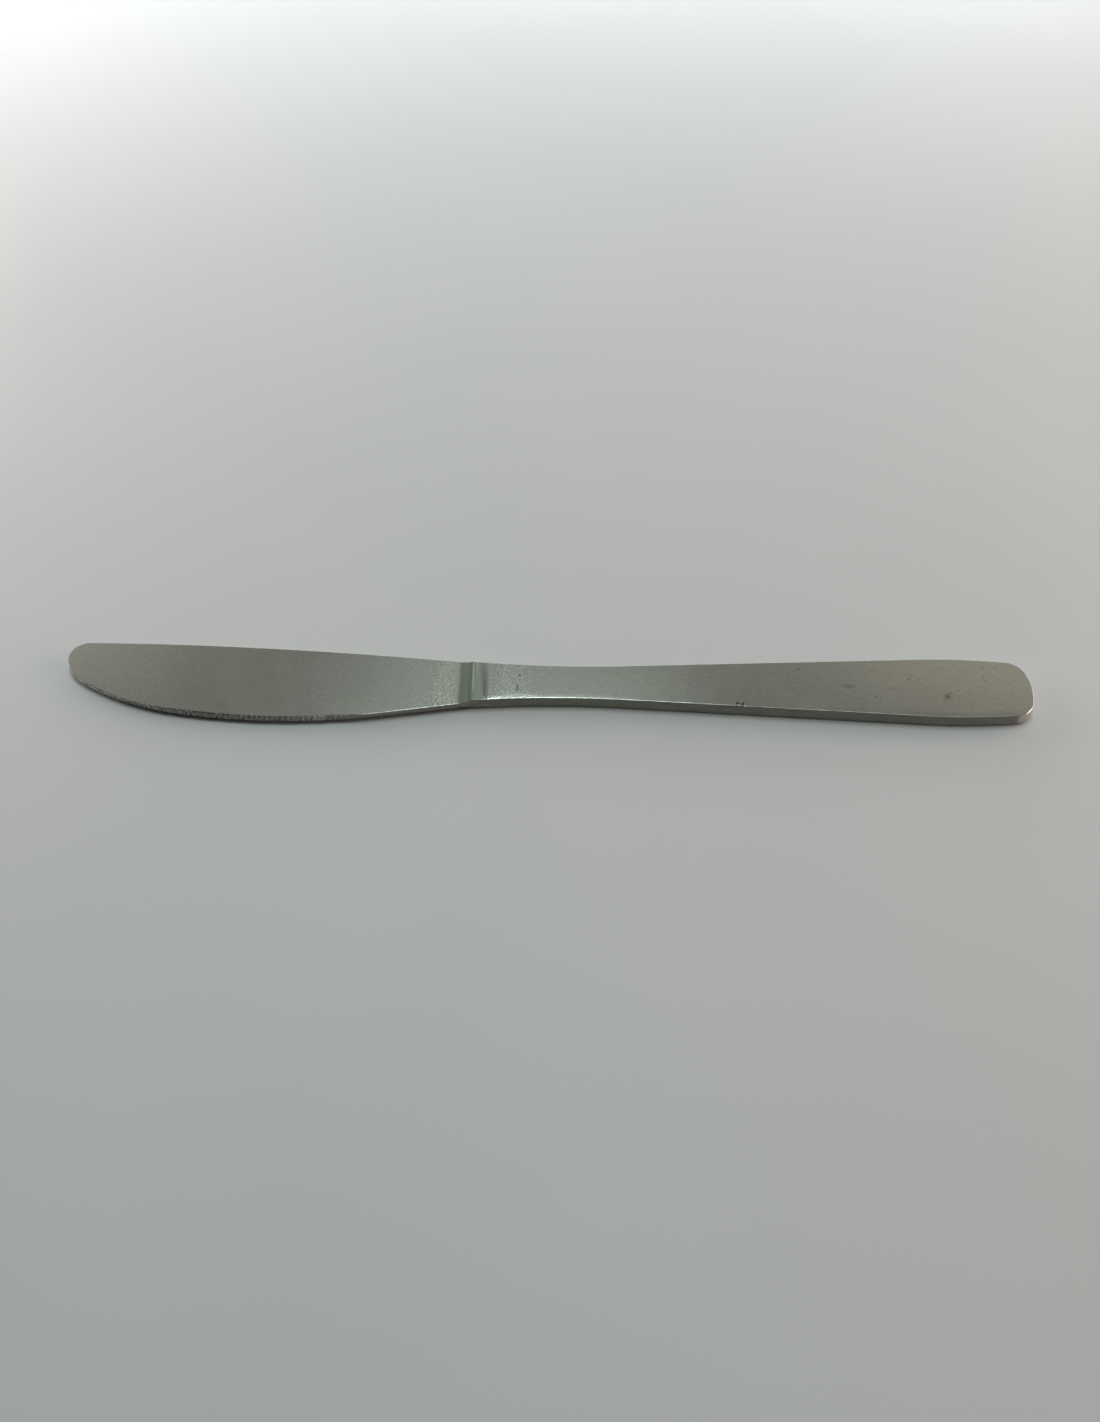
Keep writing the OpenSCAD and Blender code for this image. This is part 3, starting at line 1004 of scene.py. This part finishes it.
# The nicks are darkened, as painted shade in the dents
colour = mixed(tree, times(tree, nick_shade, 0.9), colour, DIRT_AND_SHADE)
rough = plus(tree, spread(tree, haze, 0.0, 1.0, *FACE_ROUGH), times(tree, wall, 0.22))
rough = plus(tree, rough, times(tree, pitted, 0.1))
height = times(tree, times(tree, grit, pitted), 14.0)
height = plus(tree, height, times(tree, lines, 0.5))
height = plus(tree, height, times(tree, times(tree, shear_lines, wall), 5.0))
give_finish(handle, material, colour, rough, height)

# %% Blade finish
material, tree = new_material("ground_blade_steel")
lines = lines_of(tree, (1100.0, 2400.0, 2400.0))
haze = haze_of(tree, 55.0)
peel = haze_of(tree, 2600.0)
mottle = haze_of(tree, 2200.0)
wall = attribute(tree, "side_wall")
bevelled = attribute(tree, "bevelled")
gashed = attribute(tree, "gashed")
grainy = along_knife(tree, -28.0, -21.5, -19.3, -18.6)
colour = mixed(tree, spread(tree, lines, 0.3, 0.7, 0.0, 1.0), STEEL, STEEL_DULL)
grain_tone = times(tree, peel, spread(tree, grainy, 0.0, 1.0, 0.15, 0.38))
colour = mixed(tree, grain_tone, colour, DIRT_AND_SHADE)
# The hollow where the wheel ran out is darkened, as painted shade
colour = mixed(tree, along_knife(tree, *RUNOUT_BAND), colour, SHADE_AND_TINT)
sheared = mixed(tree, mottle, SHEARED, SHEARED_DARK)
colour = mixed(tree, wall, colour, sheared)
ground_tone = mixed(tree, mottle, GROUND, GROUND_DARK)
# At the nose the bevel is lightened toward plain steel, as painted light
nose_bevel_painted_light = along_knife(tree, -105.0, -104.0, -98.0, -86.0)
ground_tone = mixed(tree, nose_bevel_painted_light, ground_tone, mixed(tree, mottle, STEEL, SHEARED))
colour = mixed(tree, bevelled, colour, ground_tone)
at_head = spread(tree, bevelled, 0.0, 0.15, 0.0, 1.0)
flecked = times(tree, along_knife(tree, -52.5, -49.5, -45.0, -41.5), at_head)
flecks = times(tree, flecked, spread(tree, mottle, 0.45, 0.8, 0.0, 1.0))
colour = mixed(tree, flecks, colour, FLECK)
# The gashes are darkened, as painted shade in the grooves of the teeth
colour = mixed(tree, spread(tree, gashed, 0.15, 0.6, 0.0, 0.65), colour, DIRT_AND_SHADE)
rough = plus(tree, spread(tree, haze, 0.0, 1.0, *FACE_ROUGH), times(tree, wall, 0.2))
rough = plus(tree, rough, times(tree, bevelled, 0.15))
rough = plus(tree, rough, times(tree, grainy, 0.05))
height = times(tree, times(tree, peel, grainy), 11.0)
height = plus(tree, height, times(tree, lines, 0.4))
height = plus(tree, height, times(tree, times(tree, mottle, bevelled), 30.0))
give_finish(blade, material, colour, rough, height)

# %% Weld finish
material, tree = new_material("dressed_weld_steel")
lines = lines_of(tree, (3200.0, 60.0, 3200.0))
shear_lines = lines_of(tree, (300.0, 300.0, 2400.0))
wall = attribute(tree, "side_wall")
colour = mixed(tree, spread(tree, lines, 0.3, 0.7, 0.0, 1.0), WELDED, WELDED_DULL)
# The end of the run-out is darkened here too, as painted shade
colour = mixed(tree, along_knife(tree, *RUNOUT_BAND), colour, SHADE_AND_TINT)
# The ridges are lightened, as a painted highlight
colour = mixed(tree, attribute(tree, "ridge_highlight"), colour, BRIGHT)
sheared = mixed(tree, spread(tree, shear_lines, 0.2, 0.8, 0.0, 1.0), SHEARED, SHEARED_DARK)
colour = mixed(tree, wall, colour, sheared)
rough = plus(tree, spread(tree, lines, 0.3, 0.7, 0.18, 0.26), times(tree, wall, 0.2))
give_finish(weld, material, colour, rough, lines)

# %% [markdown]
# ## Table and light
# The knife lies on a pale matt table under one soft lamp, high and a little behind it. Flat steel
# shows what is behind it, so a low soft panel there gives the pale patch round the weld, and the
# lamp itself shows only in the rounded front edges. A card in front opens the sheared wall, and
# three low windows, behind and at both sides, light the table. The room is dim, and its level
# changes with height and from side to side, which shades the faces along the knife.

# %% Table
table_half = 4.0
table_gap = 0.00002
corners = np.array([[-1, -1, 0], [1, -1, 0], [1, 1, 0], [-1, 1, 0]]) * table_half
corners[:, 2] = -table_gap
table_mesh = bpy.data.meshes.new("table")
table_mesh.from_pydata(corners.tolist(), [], [[0, 1, 2, 3]])
table = bpy.data.objects.new("table", table_mesh)
bpy.context.scene.collection.objects.link(table)
TABLE_SHADES = ((0.501, 0.518, 0.522, 1.0), (0.516, 0.531, 0.535, 1.0))
material, tree = new_material("pale_table", 0.0)
shader = tree.nodes["Principled BSDF"]
shader.inputs["Roughness"].default_value = 0.55
shader.inputs["Specular IOR Level"].default_value = 0.3
cloud = haze_of(tree, 9.0)
tree.links.new(mixed(tree, cloud, *TABLE_SHADES), shader.inputs["Base Color"])
table.data.materials.append(material)
print("table, metres:", 2 * table_half)


# %% Lamps
def soft_lamp(name, place, width, height, power, colour, roll=0.0):
    """A rectangular lamp at a place in metres, facing the knife and rolled by some degrees."""
    light = bpy.data.lights.new(name, "AREA")
    light.shape = "RECTANGLE"
    light.size = width
    light.size_y = height
    light.energy = power
    light.color = colour
    lamp = bpy.data.objects.new(name, light)
    lamp.location = place
    facing = Vector((0, 0, 0)) - Vector(place)
    lamp.rotation_euler = facing.to_track_quat("-Z", "Y").to_euler()
    lamp.rotation_euler.rotate_axis("Z", np.radians(roll))
    bpy.context.scene.collection.objects.link(lamp)
    return lamp


def on_sky(azimuth, elevation, distance):
    """A place by its direction from the knife: azimuth from +Y toward +X, and elevation."""
    a = np.radians(azimuth)
    e = np.radians(elevation)
    flat = np.array([np.sin(a) * np.cos(e), np.cos(a) * np.cos(e), np.sin(e)])
    return tuple(distance * flat)


soft_lamp("key_lamp", on_sky(-4, 80, 0.9), 0.19, 0.48, 2.6, (0.85, 1.0, 0.965))
soft_lamp("low_panel", on_sky(-4.2, 51.5, 1.0), 0.248, 0.26, 0.051, (0.83, 1.0, 0.98), -25.0)
soft_lamp("front_card", on_sky(180, 18, 1.0), 0.6, 0.2, 0.13, (1.0, 0.99, 0.97))
soft_lamp("back_window", on_sky(0, 9, 0.5), 0.6, 0.1, 1.0, (0.95, 0.99, 1.0))
soft_lamp("left_window", on_sky(-60, 13, 0.46), 0.36, 0.18, 1.25, (1.0, 0.89, 0.87))
soft_lamp("right_window", on_sky(78, 14, 0.46), 0.5, 0.2, 1.5, (1.0, 0.8, 0.76))
print("lamps:", [light.name for light in bpy.data.lights])


# %% Room
def set_ramp(node, stops):
    """Puts coloured stops at the given positions of a colour ramp."""
    ramp = node.color_ramp.elements
    for stop in stops[1:-1]:
        ramp.new(stop[0])
    for element, (position, colour) in zip(ramp, stops):
        element.position = position
        element.color = (*colour, 1.0)


# Level of the room by the upward share of a direction: 0 at the horizon and 1 overhead
room_heights = (
    (0.0, 0.3), (0.45, 0.2), (0.6, 0.22), (0.68, 0.27), (0.73, 0.225),
    (0.79, 0.155), (0.84, 0.2), (0.9, 0.45), (1.0, 0.55),
)
# Tint of the room by the share of a direction along X: -1 beyond the nose and 1 beyond the butt
room_sides = (
    (-1.0, (1.0, 1.0, 0.97)),
    (-0.6, (0.9, 0.9, 0.87)),
    (-0.42, (1.65, 1.65, 1.58)),
    (-0.33, (1.52, 1.52, 1.46)),
    (-0.25, (0.97, 1.0, 0.95)),
    (0.16, (0.97, 1.0, 0.95)),
    (0.24, (1.7, 1.58, 1.42)),
    (0.42, (2.08, 1.92, 1.72)),
    (0.6, (0.9, 0.86, 0.8)),
    (1.0, (1.0, 0.96, 0.9)),
)
ROOM_HIGH = (1.0, 1.0, 0.97, 1.0)

world = bpy.data.worlds.new("room")
bpy.context.scene.world = world
world.use_nodes = True
tree = world.node_tree
tree.nodes.clear()
way = put(tree, "ShaderNodeTexCoord").outputs["Generated"]
way = put(tree, "ShaderNodeSeparateXYZ", {0: way}).outputs
height_tone = put(tree, "ShaderNodeValToRGB", {"Fac": way["Z"]})
set_ramp(height_tone, [(z, (level, level, 0.97 * level)) for z, level in room_heights])
across_x = spread(tree, way["X"], -1.0, 1.0, 0.0, 1.0, "LINEAR")
side_tone = put(tree, "ShaderNodeValToRGB", {"Fac": across_x})
set_ramp(side_tone, [((x + 1) / 2, tone) for x, tone in room_sides])
high_up = spread(tree, way["Z"], 0.685, 0.78, 0.0, 1.0)
side_level = mixed(tree, high_up, side_tone.outputs[0], ROOM_HIGH)
front_dim = spread(tree, way["Y"], -0.7, 0.1, 0.1, 1.0)
level = mixed(tree, 1.0, height_tone.outputs[0], side_level, "MULTIPLY")
level = mixed(tree, 1.0, level, front_dim, "MULTIPLY")
sky = put(tree, "ShaderNodeBackground", {"Color": level, "Strength": 1.0})
put(tree, "ShaderNodeOutputWorld", {"Surface": sky.outputs[0]})
print("room:", len(room_heights), "levels by height and", len(room_sides), "by side")
